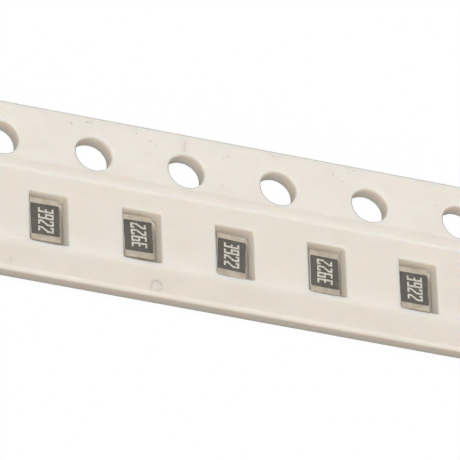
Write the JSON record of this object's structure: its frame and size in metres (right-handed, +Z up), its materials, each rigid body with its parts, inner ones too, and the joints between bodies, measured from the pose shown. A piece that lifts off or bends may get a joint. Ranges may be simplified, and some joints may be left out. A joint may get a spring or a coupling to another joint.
{
  "type": "carrier tape strip",
  "caption": "Short flat strip of punched card carrier tape, with a small chip resistor lying in each pocket under a clear cover tape.",
  "frame": {"origin": "middle of the strip's footprint, on the surface that it lies on", "axes": "+X along the tape, +Y towards the row of sprocket holes, +Z up through the cover tape"},
  "size_m": [0.028, 0.008, 0.0008],
  "materials": {
    "card": "matte bleached card, off-white",
    "bottom_tape": "thin semi-matte tissue tape, heat sealed",
    "cover_tape": "thin clear polyester film, faintly yellow, heat sealed along two tracks",
    "alumina": "fired white alumina, matte",
    "inner_electrode": "fired silver palladium, matte",
    "resistive_film": "fired resistor glaze, near black",
    "overcoat": "dark grey protective glaze, semi-matte",
    "termination": "matte tin plating",
    "marking": "off-white printed numerals"
  },
  "bodies": {
    "root": {"carrier_tape": "card", "bottom_tape": "bottom_tape", "cover_tape": "cover_tape", "chip_1_substrate": "alumina", "chip_1_inner_electrodes": "inner_electrode", "chip_1_resistive_film": "resistive_film", "chip_1_overcoat": "overcoat", "chip_1_terminations": "termination", "chip_2_substrate": "alumina", "chip_2_inner_electrodes": "inner_electrode", "chip_2_resistive_film": "resistive_film", "chip_2_overcoat": "overcoat", "chip_2_terminations": "termination", "chip_3_substrate": "alumina", "chip_3_inner_electrodes": "inner_electrode", "chip_3_resistive_film": "resistive_film", "chip_3_overcoat": "overcoat", "chip_3_terminations": "termination", "chip_4_substrate": "alumina", "chip_4_inner_electrodes": "inner_electrode", "chip_4_resistive_film": "resistive_film", "chip_4_overcoat": "overcoat", "chip_4_terminations": "termination", "chip_5_substrate": "alumina", "chip_5_inner_electrodes": "inner_electrode", "chip_5_resistive_film": "resistive_film", "chip_5_overcoat": "overcoat", "chip_5_terminations": "termination", "chip_6_substrate": "alumina", "chip_6_inner_electrodes": "inner_electrode", "chip_6_resistive_film": "resistive_film", "chip_6_overcoat": "overcoat", "chip_6_terminations": "termination", "chip_7_substrate": "alumina", "chip_7_inner_electrodes": "inner_electrode", "chip_7_resistive_film": "resistive_film", "chip_7_overcoat": "overcoat", "chip_7_terminations": "termination"}
  },
  "joints": []
}
